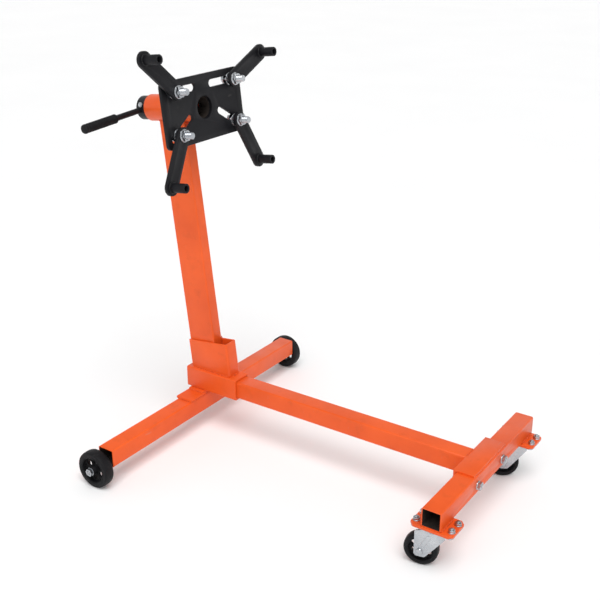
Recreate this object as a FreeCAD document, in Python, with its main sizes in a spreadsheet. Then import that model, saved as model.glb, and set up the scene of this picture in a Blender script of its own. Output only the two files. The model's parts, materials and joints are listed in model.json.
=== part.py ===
import FreeCAD, Part
import math
import os

import Sketcher
from FreeCAD import Placement, Rotation, Vector

# Rotating engine stand. Millimetres, +Z up, +X forward (from the post towards the casters),
# +Y to the left. The origin is on the floor under the middle of the stand.

SIZES = {
    # square tube of the base
    "tube_side": 45, "tube_wall": 2.5, "tube_corner": 4,
    "rear_pos": -337.2, "rear_length": 738,
    "front_offset": 784, "front_length": 478, "front_base": 106.5,
    "beam_start": 30, "beam_end": 755, "beam_base": 111.5,
    # rear joint: saddle plate, pad, sleeve, clamp bolt
    "saddle_depth": 49, "saddle_width": 168, "saddle_thick": 6,
    "pad_depth": 47, "pad_width": 72, "pad_thick": 4,
    "sleeve_wall": 5, "sleeve_side": 56, "sleeve_back": 36, "sleeve_front": 122,
    "clamp_offset": 95,
    # post, its socket and the bearing tube on top of it
    "lean": 6.7, "post_offset": 18.3, "post_depth": 80, "post_width": 32, "post_wall": 3,
    "post_height": 671,
    "socket_wall": 4, "socket_front": 82, "socket_height": 80, "socket_inner": 33,
    "bearing_radius": 31.75, "bearing_back": 69, "bearing_front": 80, "running_gap": 0.08,
    # front joint: bracket with a top plate and a flange, two through bolts
    "bracket_width": 164, "flange_thick": 6, "top_thick": 5, "bracket_depth": 49,
    "joint_spread": 64, "joint_level": 125.5,
    # caster mounts
    "mount_depth": 98, "mount_width": 66, "mount_thick": 6,
    "caster_spread": 209, "hole_spread_deep": 40, "hole_spread_wide": 15,
    # swivel casters
    "plate_thick": 3, "ball_radius": 2.5, "ball_circle": 16, "race_gap": 4,
    "crown_thick": 3, "crown_radius": 26, "fork_inner": 30, "fork_thick": 2.5,
    "trail": 30, "caster_radius": 37.5, "caster_width": 24, "kingpin_radius": 6,
    "caster_axle": 5,
    # fixed rear wheels and their axles
    "wheel_radius": 46, "wheel_width": 28, "hub_length": 34, "hub_start": 371.4,
    "axle_radius": 5, "axle_welded": 80, "axle_tip": 415, "axle_back": 16.5,
    # rotating head
    "shaft_radius": 28.5, "shaft_wall": 3, "shaft_back": 96, "plate_back": 87.5,
    "head_width": 280, "head_height": 152, "head_thick": 8, "head_corner": 12,
    "head_bore": 26.5, "slot_radius": 8.75, "upper_slot_in": 33, "upper_slot_out": 113,
    "slot_level": 50.5, "lower_slot_in": 54, "lower_slot_in_level": -16,
    "lower_slot_out": 116, "lower_slot_out_level": -54.7,
    # handle
    "handle_back": 85, "rod_radius": 7, "rod_far": 38, "grip_start": 114, "grip_end": 218,
    "grip_radius": 11, "handle_tilt": 3.5, "screw_back": 82, "screw_angle": 25.5,
    # indexing pin
    "pin_forward": 56, "pin_radius": 5, "pin_tip": 29, "pin_tail": 58, "boss_radius": 10,
    "boss_end": 44, "knob_radius": 12, "knob_end": 70,
    # mounting arms
    "arm_length": 122, "arm_width": 38, "arm_thick": 8, "arm_bolt": 8,
    "arm_tube_radius": 11, "arm_tube_bore": 6.75, "arm_tube_length": 48,
    "nut_height": 9, "slip": 0.1,
}

# How far each caster is turned about its swivel axis, in degrees.
SWIVELS = {"left": (1, 25), "right": (-1, 12)}

# Bolt position on the head plate (across, up) and direction of each arm in degrees.
ARMS = {
    "upper_left": (102, 50.5, 23),
    "upper_right": (-102, 50.5, 138),
    "lower_left": (105, -47.83, -62),
    "lower_right": (-103, -46.58, -120),
}


class Size:
    """A number together with the spreadsheet expression that gives it."""

    def __init__(self, value, text):
        self.value = float(value)
        self.text = text

    def __add__(self, other):
        other = as_size(other)
        return Size(self.value + other.value, f"({self.text} + {other.text})")

    def __sub__(self, other):
        other = as_size(other)
        return Size(self.value - other.value, f"({self.text} - {other.text})")

    def __mul__(self, other):
        other = as_size(other)
        return Size(self.value * other.value, f"({self.text} * {other.text})")

    def __truediv__(self, other):
        other = as_size(other)
        return Size(self.value / other.value, f"({self.text} / {other.text})")

    def __neg__(self):
        return Size(-self.value, f"(0 - {self.text})")


def as_size(thing):
    """A Size, whether a Size or a plain number is given."""
    if isinstance(thing, Size):
        return thing
    if thing < 0:
        return Size(thing, f"(0 - {-thing:.6f})")
    return Size(thing, f"{thing:.6f}")


class Sheet:
    """The driving dimensions, each readable as an attribute."""

    def __init__(self, document, sizes):
        self.sheet = document.addObject("Spreadsheet::Sheet", "Dims")
        self.sizes = sizes
        for row, (name, number) in enumerate(sizes.items(), start=1):
            self.sheet.set(f"A{row}", name)
            self.sheet.set(f"B{row}", str(number))
            self.sheet.setAlias(f"B{row}", name)

    def __getattr__(self, name):
        return Size(self.sizes[name], f"Dims.{name}")


doc = FreeCAD.newDocument("EngineStand")
dim = Sheet(doc, SIZES)
doc.recompute()
parts = []


# ---------------------------------------------------------------- feature helpers

def bind(thing, prop, measure):
    """Set a property and tie it to the spreadsheet."""
    thing.setExpression(prop, as_size(measure).text)


def new_body(label):
    body = doc.addObject("PartDesign::Body", label)
    body.Label = label
    return body


def new_sketch(body, plane, offset=None):
    """A sketch on one of the body's own origin planes."""
    support = next(item for item in body.Origin.OriginFeatures if item.Role == plane)
    sketch = body.newObject("Sketcher::SketchObject", "Sketch")
    sketch.AttachmentSupport = [(support, "")]
    sketch.MapMode = "FlatFace"
    if offset is not None:
        sketch.AttachmentOffset = offset
    return sketch


def pin_point(sketch, geometry, point, across, up):
    """Fix one point of a sketch at (across, up) from the sketch origin."""
    for kind, axis, measure in (("DistanceX", -2, across), ("DistanceY", -1, up)):
        if abs(measure.value) < 1e-9:
            sketch.addConstraint(Sketcher.Constraint("PointOnObject", geometry, point, axis))
            continue
        index = sketch.addConstraint(
            Sketcher.Constraint(kind, -1, 1, geometry, point, measure.value))
        sketch.setExpression(f"Constraints[{index}]", measure.text)


def draw_polygon(sketch, points):
    """A closed outline through the points, each tied to the spreadsheet."""
    points = [(as_size(x), as_size(y)) for x, y in points]
    corners = [Vector(x.value, y.value, 0) for x, y in points]
    first = sketch.GeometryCount
    total = len(corners)
    for index in range(total):
        sketch.addGeometry(Part.LineSegment(corners[index], corners[(index + 1) % total]), False)
    for index in range(total):
        after = first + (index + 1) % total
        sketch.addConstraint(Sketcher.Constraint("Coincident", first + index, 2, after, 1))
    for index, (across, up) in enumerate(points):
        pin_point(sketch, first + index, 1, across, up)


def draw_box(sketch, width, height, across=0, up=0):
    """A rectangle centred on (across, up)."""
    half, tall = as_size(width) / 2, as_size(height) / 2
    across, up = as_size(across), as_size(up)
    draw_polygon(sketch, [(across - half, up - tall), (across + half, up - tall),
                          (across + half, up + tall), (across - half, up + tall)])


def draw_circle(sketch, radius, across=0, up=0):
    radius, across, up = as_size(radius), as_size(across), as_size(up)
    index = sketch.addGeometry(
        Part.Circle(Vector(across.value, up.value, 0), Vector(0, 0, 1), radius.value), False)
    pin_point(sketch, index, 3, across, up)
    where = sketch.addConstraint(Sketcher.Constraint("Radius", index, radius.value))
    sketch.setExpression(f"Constraints[{where}]", radius.text)


def draw_slot(sketch, radius, start, end):
    """A round-ended slot between two centres."""
    radius = as_size(radius)
    start = [as_size(item) for item in start]
    end = [as_size(item) for item in end]
    first, last = (Vector(item[0].value, item[1].value, 0) for item in (start, end))
    turn = math.atan2(last.y - first.y, last.x - first.x)
    side = Vector(-math.sin(turn), math.cos(turn), 0) * radius.value
    up_axis = Vector(0, 0, 1)
    quarter = math.pi / 2
    near = Part.ArcOfCircle(Part.Circle(first, up_axis, radius.value),
                            turn + quarter, turn + 3 * quarter)
    far = Part.ArcOfCircle(Part.Circle(last, up_axis, radius.value),
                           turn - quarter, turn + quarter)
    index = sketch.addGeometry(near, False)
    sketch.addGeometry(Part.LineSegment(first - side, last - side), False)
    sketch.addGeometry(far, False)
    sketch.addGeometry(Part.LineSegment(last + side, first + side), False)
    for step in range(4):
        after = index + (step + 1) % 4
        sketch.addConstraint(Sketcher.Constraint("Tangent", index + step, 2, after, 1))
    where = sketch.addConstraint(Sketcher.Constraint("Radius", index, radius.value))
    sketch.setExpression(f"Constraints[{where}]", radius.text)
    pin_point(sketch, index, 3, *start)
    pin_point(sketch, index + 2, 3, *end)


def finish_feature(body, feature, grows):
    """Recompute and make sure that the feature adds or removes material."""
    before = feature.BaseFeature.Shape.Volume if feature.BaseFeature else 0.0
    doc.recompute()
    change = feature.Shape.Volume - before
    if (change > 0) != grows or abs(change) < 1e-3:
        raise RuntimeError(f"{body.Label}: {feature.Name} changed the volume by {change:.2f}")
    body.Tip = feature
    return feature


def pad(body, sketch, length, both=False, back=False):
    feature = body.newObject("PartDesign::Pad", "Pad")
    feature.Profile = sketch
    feature.SideType = "Symmetric" if both else "One side"
    feature.Reversed = back
    bind(feature, "Length", length)
    return finish_feature(body, feature, True)


def pocket(body, sketch, length=None, both=False, back=False):
    feature = body.newObject("PartDesign::Pocket", "Pocket")
    feature.Profile = sketch
    feature.SideType = "Symmetric" if both else "One side"
    feature.Reversed = back
    if length is None:
        feature.Type = "ThroughAll"
    else:
        bind(feature, "Length", length)
    return finish_feature(body, feature, False)


def revolve(body, sketch, axis, cut=False):
    kind = "PartDesign::Groove" if cut else "PartDesign::Revolution"
    feature = body.newObject(kind, "Turned")
    feature.Profile = sketch
    feature.ReferenceAxis = (sketch, [axis])
    feature.Angle = 360
    return finish_feature(body, feature, not cut)


def round_edges(body, radius, choose, kind="PartDesign::Fillet"):
    """Fillet (or chamfer) the edges of the body's tip that the test picks out."""
    base = body.Tip
    names = [f"Edge{index}" for index, edge in enumerate(base.Shape.Edges, start=1)
             if choose(edge)]
    if not names:
        raise RuntimeError(f"{body.Label}: no edges to round")
    feature = body.newObject(kind, "Rounded")
    feature.Base = (base, names)
    bind(feature, "Radius" if kind.endswith("Fillet") else "Size", radius)
    doc.recompute()
    body.Tip = feature
    return feature


def repeat_round(body, feature, axis, count):
    """Copy a feature evenly around one of the body's origin axes."""
    line = next(item for item in body.Origin.OriginFeatures if item.Role == axis)
    before = feature.Shape.Volume
    pattern = body.newObject("PartDesign::PolarPattern", "Pattern")
    pattern.Originals = [feature]
    pattern.Axis = (line, [""])
    pattern.Angle = 360
    pattern.Occurrences = count
    body.Tip = pattern
    doc.recompute()
    if abs(pattern.Shape.Volume - before) < 1e-3:
        raise RuntimeError(f"{body.Label}: the pattern changed nothing")
    return pattern


def straight_along(axis, length):
    """Test for straight edges parallel to the axis and at least that long."""
    def choose(edge):
        if not isinstance(edge.Curve, Part.Line) or edge.Length < length:
            return False
        return abs(edge.Curve.Direction.dot(axis)) > 0.999
    return choose


def put(thing, across=0, left=0, up=0, turn=None):
    """Place a sub-part; lengths come from the spreadsheet."""
    if turn is not None:
        thing.Placement = Placement(Vector(0, 0, 0), turn)
    for letter, measure in (("x", across), ("y", left), ("z", up)):
        bind(thing, f"Placement.Base.{letter}", measure)
    parts.append(thing)
    return thing


def put_at(thing, placement):
    """Place a sub-part by a ready-made placement."""
    thing.Placement = placement
    parts.append(thing)
    return thing


def group(label, source, placements):
    """Several identical pieces kept as one node of separate solids."""
    source.Placement = placements[0]
    copies = [source]
    for placement in placements[1:]:
        link = doc.addObject("App::Link", f"{label}_copy")
        link.LinkedObject = source
        link.LinkTransform = False
        link.Placement = placement
        copies.append(link)
    compound = doc.addObject("Part::Compound", label)
    compound.Label = label
    compound.Links = copies
    parts.append(compound)
    return compound


# ---------------------------------------------------------------- common frames

X_AXIS = Vector(1, 0, 0)
Y_AXIS = Vector(0, 1, 0)
Z_AXIS = Vector(0, 0, 1)
LEAN = Rotation(Y_AXIS, -SIZES["lean"])
LEAN_TAN = math.tan(math.radians(SIZES["lean"]))

rear_top = dim.wheel_radius + dim.axle_radius + dim.tube_side
sleeve_base = rear_top + dim.saddle_thick + dim.pad_thick
sleeve_top = sleeve_base + dim.sleeve_side
post_foot = Vector((dim.rear_pos + dim.post_offset).value, 0, sleeve_top.value)
head_centre = post_foot + LEAN.multVec(Vector(0, 0, SIZES["post_height"]))
HEAD = Placement(head_centre, LEAN)
head_front = dim.plate_back + dim.head_thick


def on_head(forward, left, up, turn=None):
    """A placement given in the leaning frame of the shaft axis."""
    local = Placement(Vector(forward, left, up), turn or Rotation())
    return HEAD.multiply(local)


# ---------------------------------------------------------------- repeated pieces

def square_tube(label, plane, axis, length, both=True):
    """Square tube with rounded corners, cut square at both ends."""
    body = new_body(label)
    outer = new_sketch(body, plane)
    draw_box(outer, dim.tube_side, dim.tube_side)
    pad(body, outer, length, both=both)
    round_edges(body, dim.tube_corner, straight_along(axis, 100))
    inner = new_sketch(body, plane)
    inside = dim.tube_side - dim.tube_wall * 2
    draw_box(inner, inside, inside)
    pocket(body, inner, both=True)
    return body


def hexagon(across_flats):
    """Corner points of a hexagon of that width across its flats."""
    reach = as_size(across_flats) / math.sqrt(3)
    return [(reach * round(math.cos(math.radians(60 * step)), 9),
             reach * round(math.sin(math.radians(60 * step)), 9)) for step in range(6)]


def hex_bolt(label, radius, length, flats, head, flange=0):
    """Hex bolt along Z: the head above Z = 0, the shank below it."""
    body = new_body(label)
    shape = new_sketch(body, "XY_Plane")
    draw_polygon(shape, hexagon(flats))
    pad(body, shape, head)
    if flange:
        collar = new_sketch(body, "XY_Plane")
        draw_circle(collar, flange)
        pad(body, collar, 2)
    shank = new_sketch(body, "XY_Plane")
    draw_circle(shank, radius)
    pad(body, shank, length, back=True)
    tip = -as_size(length).value
    round_edges(body, as_size(radius) * 0.15,
                lambda edge: abs(edge.BoundBox.ZMax - tip) < 1e-6, "PartDesign::Chamfer")
    return body


def hex_nut(label, radius, flats, height, flange=0):
    """Hex nut along Z standing on Z = 0, with an optional round flange."""
    body = new_body(label)
    shape = new_sketch(body, "XY_Plane")
    draw_polygon(shape, hexagon(flats))
    pad(body, shape, height)
    if flange:
        collar = new_sketch(body, "XY_Plane")
        draw_circle(collar, flange)
        pad(body, collar, 2)
    bore = new_sketch(body, "XY_Plane")
    draw_circle(bore, radius)
    pocket(body, bore, both=True)
    return body


def ring(label, inner, outer, length):
    """Washer or spacer along Z standing on Z = 0."""
    body = new_body(label)
    shape = new_sketch(body, "XY_Plane")
    draw_circle(shape, outer)
    draw_circle(shape, inner)
    pad(body, shape, length)
    return body


def spoked_wheel(label, radius, width, hub_length, bore, window_circle, window_radius,
                 rim_depth):
    """One-piece wheel turned about Y, with six windows through a thin web."""
    radius, width = as_size(radius), as_size(width)
    half, hub = width / 2, as_size(hub_length) / 2
    inner = radius - rim_depth
    boss = as_size(bore) + 6
    body = new_body(label)
    profile = new_sketch(body, "XY_Plane")
    draw_polygon(profile, [
        (bore, -hub), (boss, -hub), (boss, -3), (inner, -3), (inner, -half + 1.5),
        (inner + 1.5, -half), (radius - 4, -half), (radius - 1, -half + 2.5),
        (radius, -half + 7), (radius, half - 7), (radius - 1, half - 2.5),
        (radius - 4, half), (inner + 1.5, half), (inner, half - 1.5), (inner, 3),
        (boss, 3), (boss, hub), (bore, hub)])
    revolve(body, profile, "V_Axis")
    window = new_sketch(body, "XZ_Plane")
    draw_circle(window, window_radius, window_circle * math.sin(math.pi / 3),
                window_circle * math.cos(math.pi / 3))
    hole = pocket(body, window, both=True)
    repeat_round(body, hole, "Y_Axis", 6)
    return body


# ---------------------------------------------------------------- base frame

rear_centre = rear_top - dim.tube_side / 2
put(square_tube("rear_cross_tube", "XZ_Plane", Y_AXIS, dim.rear_length),
    dim.rear_pos, 0, rear_centre)

saddle = new_body("saddle_plate")
outline = new_sketch(saddle, "XY_Plane")
draw_box(outline, dim.saddle_depth, dim.saddle_width)
pad(saddle, outline, dim.saddle_thick)
round_edges(saddle, 1, straight_along(Y_AXIS, 100))
put(saddle, dim.rear_pos - 2, 0, rear_top)

riser = new_body("sleeve_pad")
outline = new_sketch(riser, "XY_Plane")
draw_box(outline, dim.pad_depth, dim.pad_width)
pad(riser, outline, dim.pad_thick)
put(riser, dim.rear_pos - 2, 0, rear_top + dim.saddle_thick)

sleeve_centre = sleeve_base + dim.sleeve_side / 2
sleeve_long = dim.sleeve_front + dim.sleeve_back
sleeve = new_body("beam_sleeve")
outline = new_sketch(sleeve, "YZ_Plane")
draw_box(outline, dim.sleeve_side, dim.sleeve_side)
pad(sleeve, outline, sleeve_long)
round_edges(sleeve, dim.tube_corner, straight_along(X_AXIS, 100))
outline = new_sketch(sleeve, "YZ_Plane")
sleeve_inner = dim.sleeve_side - dim.sleeve_wall * 2
draw_box(outline, sleeve_inner, sleeve_inner)
pocket(sleeve, outline, both=True)
outline = new_sketch(sleeve, "XZ_Plane")
draw_circle(outline, 5.2, dim.clamp_offset + dim.sleeve_back, 0)
pocket(sleeve, outline, dim.sleeve_side, back=False)
put(sleeve, dim.rear_pos - dim.sleeve_back, 0, sleeve_centre)

beam_long = dim.beam_end + dim.beam_start
beam_centre = dim.beam_base + dim.tube_side / 2
put(square_tube("centre_beam", "YZ_Plane", X_AXIS, beam_long, both=False),
    dim.rear_pos - dim.beam_start, 0, beam_centre)

clamp_face = dim.sleeve_side / 2
put(hex_nut("sleeve_clamp_nut", 5.1, 17, 8),
    dim.rear_pos + dim.clamp_offset, clamp_face, sleeve_centre, Rotation(X_AXIS, -90))
put(hex_bolt("sleeve_clamp_bolt", 5, 17.4, 16, 6.4),
    dim.rear_pos + dim.clamp_offset, clamp_face + 12, sleeve_centre, Rotation(X_AXIS, -90))

# The socket and the post stand on the sleeve, both leaning back by the same angle.
socket_outer = dim.socket_inner + dim.socket_wall * 2
socket = new_body("post_socket")
outline = new_sketch(socket, "XY_Plane")
socket_rear = -(dim.post_depth / 2)
draw_box(outline, dim.socket_front - socket_rear, socket_outer,
         (dim.socket_front + socket_rear) / 2, 0)
pad(socket, outline, dim.socket_height * 2, both=True)
round_edges(socket, 6, lambda edge: straight_along(Z_AXIS, 100)(edge)
            and edge.CenterOfMass.x > 0)
outline = new_sketch(socket, "XY_Plane")
inner_front = dim.socket_front - dim.socket_wall
draw_box(outline, inner_front - socket_rear + 10, dim.socket_inner,
         (inner_front + socket_rear - 10) / 2, 0)
pocket(socket, outline, both=True)


def trim_foot(body):
    """Cut a leaning piece off level with the top of the sleeve."""
    cut = new_sketch(body, "XZ_Plane")
    reach = 150
    draw_polygon(cut, [(-reach, reach * LEAN_TAN), (-reach, -200), (reach, -200),
                       (reach, -reach * LEAN_TAN)])
    pocket(body, cut, both=True)


trim_foot(socket)
put_at(socket, Placement(post_foot, LEAN))

post = new_body("post")
outline = new_sketch(post, "XY_Plane")
draw_box(outline, dim.post_depth, dim.post_width)
pad(post, outline, dim.post_height * 2, both=True)
round_edges(post, dim.tube_corner, straight_along(Z_AXIS, 100))
outline = new_sketch(post, "XY_Plane")
draw_box(outline, dim.post_depth - dim.post_wall * 2, dim.post_width - dim.post_wall * 2)
pocket(post, outline, both=True)
trim = new_sketch(post, "YZ_Plane")
draw_circle(trim, dim.bearing_radius, 0, dim.post_height)
pocket(post, trim, both=True)
foot = new_sketch(post, "XZ_Plane")
draw_polygon(foot, [(-150, 150 * LEAN_TAN), (-150, -700), (150, -700), (150, -150 * LEAN_TAN)])
pocket(post, foot, both=True)
put_at(post, Placement(post_foot, LEAN))

bearing = new_body("bearing_tube")
outline = new_sketch(bearing, "YZ_Plane")
draw_circle(outline, dim.bearing_radius)
draw_circle(outline, dim.shaft_radius + dim.running_gap)
bearing_long = dim.bearing_front + dim.bearing_back
pad(bearing, outline, bearing_long)
outline = new_sketch(bearing, "XZ_Plane")
draw_circle(outline, dim.pin_radius + 0.1, dim.pin_forward + dim.bearing_back, 0)
pocket(bearing, outline, 60, back=False)
put_at(bearing, on_head(-SIZES["bearing_back"], 0, 0))

boss = new_body("lock_boss")
outline = new_sketch(boss, "XY_Plane")
draw_circle(outline, dim.boss_radius)
pad(boss, outline, dim.boss_end)
outline = new_sketch(boss, "XY_Plane")
draw_circle(outline, dim.pin_radius + 0.1)
pocket(boss, outline, both=True)
outline = new_sketch(boss, "YZ_Plane")
draw_circle(outline, dim.bearing_radius)
pocket(boss, outline, both=True)
TO_LEFT = Rotation(X_AXIS, -90)
put_at(boss, on_head(SIZES["pin_forward"], 0, 0, TO_LEFT))

# ---------------------------------------------------------------- front of the base

bracket = new_body("front_saddle")
profile = new_sketch(bracket, "XZ_Plane")
top_level = dim.front_base + dim.tube_side
bracket_foot = dim.beam_base - top_level
draw_polygon(profile, [
    (0, bracket_foot), (dim.flange_thick, bracket_foot), (dim.flange_thick, 0),
    (dim.bracket_depth, 0), (dim.bracket_depth, dim.top_thick), (0, dim.top_thick)])
pad(bracket, profile, dim.bracket_width, both=True)
holes = new_sketch(bracket, "YZ_Plane")
for side in (-1, 1):
    draw_circle(holes, 5.25, dim.joint_spread * side, dim.joint_level - top_level)
pocket(bracket, holes, both=True)
put(bracket, dim.rear_pos + dim.beam_end, 0, top_level)

front_centre = dim.front_base + dim.tube_side / 2
front_tube = square_tube("front_cross_tube", "XZ_Plane", Y_AXIS, dim.front_length)
holes = new_sketch(front_tube, "YZ_Plane")
for side in (-1, 1):
    draw_circle(holes, 5.25, dim.joint_spread * side, dim.joint_level - front_centre)
pocket(front_tube, holes, both=True)
put(front_tube, dim.rear_pos + dim.front_offset, 0, front_centre)

# Through bolts: heads behind the flange, flange nuts on the front face of the tube.
joint_back = (dim.rear_pos + dim.beam_end).value
joint_front = (dim.rear_pos + dim.front_offset + dim.tube_side / 2).value
TO_BACK = Rotation(Y_AXIS, -90)
TO_FRONT = Rotation(Y_AXIS, 90)
level = SIZES["joint_level"]
group("joint_bolts", hex_bolt("joint_bolt", 5, 62, 17, 6.4, 10.5),
      [Placement(Vector(joint_back, side * SIZES["joint_spread"], level), TO_BACK)
       for side in (-1, 1)])
group("joint_nuts", hex_nut("joint_nut", 5.02, 17, 9, 10.5),
      [Placement(Vector(joint_front, side * SIZES["joint_spread"], level), TO_FRONT)
       for side in (-1, 1)])


def caster_holes(body, radius):
    """The four bolt holes that the mount and the caster plate share."""
    holes = new_sketch(body, "XY_Plane")
    for deep in (-1, 1):
        for wide in (-1, 1):
            draw_circle(holes, radius, dim.hole_spread_deep * deep, dim.hole_spread_wide * wide)
    pocket(body, holes, both=True)


def caster_mount(label):
    """Steel plate under the end of the front tube, with cut corners."""
    body = new_body(label)
    outline = new_sketch(body, "XY_Plane")
    draw_box(outline, dim.mount_depth, dim.mount_width)
    pad(body, outline, dim.mount_thick)
    round_edges(body, 9, straight_along(Z_AXIS, 1), "PartDesign::Chamfer")
    caster_holes(body, 4.3)
    relief = new_sketch(body, "XY_Plane")
    draw_circle(relief, 12)
    pocket(body, relief, both=True)
    return body


mount_base = dim.front_base - dim.mount_thick
plate_base = mount_base - dim.plate_thick
ball_level = plate_base - dim.race_gap / 2
crown_top = plate_base - dim.race_gap
caster_x = dim.rear_pos + dim.front_offset


def caster_plate(label):
    """Zinc-plated top plate with the upper ball track pressed into it."""
    body = new_body(label)
    outline = new_sketch(body, "XY_Plane")
    draw_box(outline, dim.mount_depth - 2, dim.mount_width - 6)
    pad(body, outline, dim.plate_thick)
    round_edges(body, 8, straight_along(Z_AXIS, 1))
    caster_holes(body, 4.3)
    hole = new_sketch(body, "XY_Plane")
    draw_circle(hole, dim.kingpin_radius)
    pocket(body, hole, both=True)
    track = new_sketch(body, "XZ_Plane")
    draw_circle(track, dim.ball_radius + 0.1, dim.ball_circle, ball_level - plate_base)
    revolve(body, track, "V_Axis", cut=True)
    return body


def kingpin(label):
    """Riveted swivel pin, from its head above the plate to its collar under the crown."""
    body = new_body(label)
    crown_base = crown_top - dim.crown_thick - mount_base
    profile = new_sketch(body, "XZ_Plane")
    draw_polygon(profile, [
        (0, crown_base - 4.5), (7, crown_base - 4.5), (9, crown_base - 3),
        (9, crown_base - 0.3), (dim.kingpin_radius, crown_base - 0.3),
        (dim.kingpin_radius, 0), (10, 0), (10, 2), (7, 4), (0, 4)])
    revolve(body, profile, "V_Axis")
    return body


def caster_fork(label):
    """Pressed fork: round crown with the lower ball track, two legs trailing back."""
    body = new_body(label)
    top, under = crown_top, crown_top - dim.crown_thick
    width = dim.fork_inner + dim.fork_thick * 2
    side = new_sketch(body, "XZ_Plane")
    draw_polygon(side, [
        (22, top), (-22, top), (-dim.trail - 12.5, under - 4), (-dim.trail - 12.5, 25.5),
        (-dim.trail + 11, 25.5), (22, under - 12)])
    pad(body, side, width, both=True)
    round_edges(body, 8, lambda edge: straight_along(Y_AXIS, 10)(edge)
                and edge.CenterOfMass.z < 26)
    gap = new_sketch(body, "YZ_Plane")
    draw_box(gap, dim.fork_inner, 100, 0, under - 50)
    pocket(body, gap, both=True)
    crown = new_sketch(body, "XY_Plane", Placement(Vector(0, 0, under.value), Rotation()))
    bind(crown, "AttachmentOffset.Base.z", under)
    draw_circle(crown, dim.crown_radius)
    pad(body, crown, dim.crown_thick)
    hole = new_sketch(body, "XY_Plane")
    draw_circle(hole, dim.kingpin_radius + 0.1)
    pocket(body, hole, both=False, back=True)
    track = new_sketch(body, "XZ_Plane")
    draw_circle(track, dim.ball_radius + 0.1, dim.ball_circle, ball_level)
    revolve(body, track, "V_Axis", cut=True)
    axle = new_sketch(body, "XZ_Plane")
    draw_circle(axle, dim.caster_axle, -dim.trail, dim.caster_radius)
    pocket(body, axle, both=True)
    return body


def caster_axle(label):
    """Riveted axle through both fork legs, along Y."""
    body = new_body(label)
    half = dim.fork_inner / 2 + dim.fork_thick
    profile = new_sketch(body, "XY_Plane")
    draw_polygon(profile, [
        (0, -half - 4), (6, -half - 3), (8, -half), (dim.caster_axle, -half),
        (dim.caster_axle, half), (8, half), (6, half + 3), (0, half + 4)])
    revolve(body, profile, "V_Axis")
    return body


def race_ball(label):
    """One steel ball of the swivel race, turned from a half disc."""
    body = new_body(label)
    profile = new_sketch(body, "XZ_Plane")
    radius = dim.ball_radius
    half = Part.Circle(Vector(0, 0, 0), Z_AXIS, radius.value)
    profile.addGeometry(Part.ArcOfCircle(half, -math.pi / 2, math.pi / 2), False)
    profile.addGeometry(Part.LineSegment(Vector(0, radius.value, 0),
                                         Vector(0, -radius.value, 0)), False)
    profile.addConstraint(Sketcher.Constraint("Coincident", 0, 2, 1, 1))
    profile.addConstraint(Sketcher.Constraint("Coincident", 0, 1, 1, 2))
    profile.addConstraint(Sketcher.Constraint("Coincident", 0, 3, -1, 1))
    profile.addConstraint(Sketcher.Constraint("PointOnObject", 1, 1, -2))
    where = profile.addConstraint(Sketcher.Constraint("Radius", 0, radius.value))
    profile.setExpression(f"Constraints[{where}]", radius.text)
    revolve(body, profile, "V_Axis")
    return body


bolt_spots = []
for name, (side, angle) in SWIVELS.items():
    sideways = dim.caster_spread * side
    swivel = Rotation(Z_AXIS, angle)
    axle_x = caster_x - dim.trail * math.cos(math.radians(angle))
    axle_y = sideways - dim.trail * math.sin(math.radians(angle))
    put(caster_mount(f"caster_mount_{name}"), caster_x, sideways, mount_base)
    put(caster_plate(f"caster_plate_{name}"), caster_x, sideways, plate_base)
    put(kingpin(f"kingpin_{name}"), caster_x, sideways, mount_base)
    put(caster_fork(f"caster_fork_{name}"), caster_x, sideways, 0, swivel)
    put(caster_axle(f"caster_axle_{name}"), axle_x, axle_y, dim.caster_radius, swivel)
    put(spoked_wheel(f"caster_wheel_{name}", dim.caster_radius, dim.caster_width,
                     dim.fork_inner - 1, dim.caster_axle + 0.08, 18.5, 6.2, 11),
        axle_x, axle_y, dim.caster_radius, swivel)
    centre = Vector(caster_x.value, sideways.value, ball_level.value)
    spots = [centre + Vector(SIZES["ball_circle"] * math.cos(math.radians(30 * step)),
                             SIZES["ball_circle"] * math.sin(math.radians(30 * step)), 0)
             for step in range(12)]
    group(f"caster_balls_{name}", race_ball(f"race_ball_{name}"),
          [Placement(spot, Rotation()) for spot in spots])
    for deep in (-1, 1):
        for wide in (-1, 1):
            bolt_spots.append(Vector(caster_x.value + deep * SIZES["hole_spread_deep"],
                                     sideways.value + wide * SIZES["hole_spread_wide"], 0))


def carriage_bolt(label):
    """Low round head under the caster plate, shank up through the mount."""
    body = new_body(label)
    profile = new_sketch(body, "XZ_Plane")
    draw_polygon(profile, [(0, -3.6), (4, -3.4), (7, -2.2), (8, 0), (4, 0), (4, 18),
                           (3.4, 18.8), (0, 18.8)])
    revolve(body, profile, "V_Axis")
    return body


group("caster_bolts", carriage_bolt("caster_bolt"),
      [Placement(spot + Vector(0, 0, plate_base.value), Rotation()) for spot in bolt_spots])
group("caster_nuts", hex_nut("caster_nut", 4.02, 13, 7, 8),
      [Placement(spot + Vector(0, 0, SIZES["front_base"]), Rotation()) for spot in bolt_spots])

# ---------------------------------------------------------------- rear wheels

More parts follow.
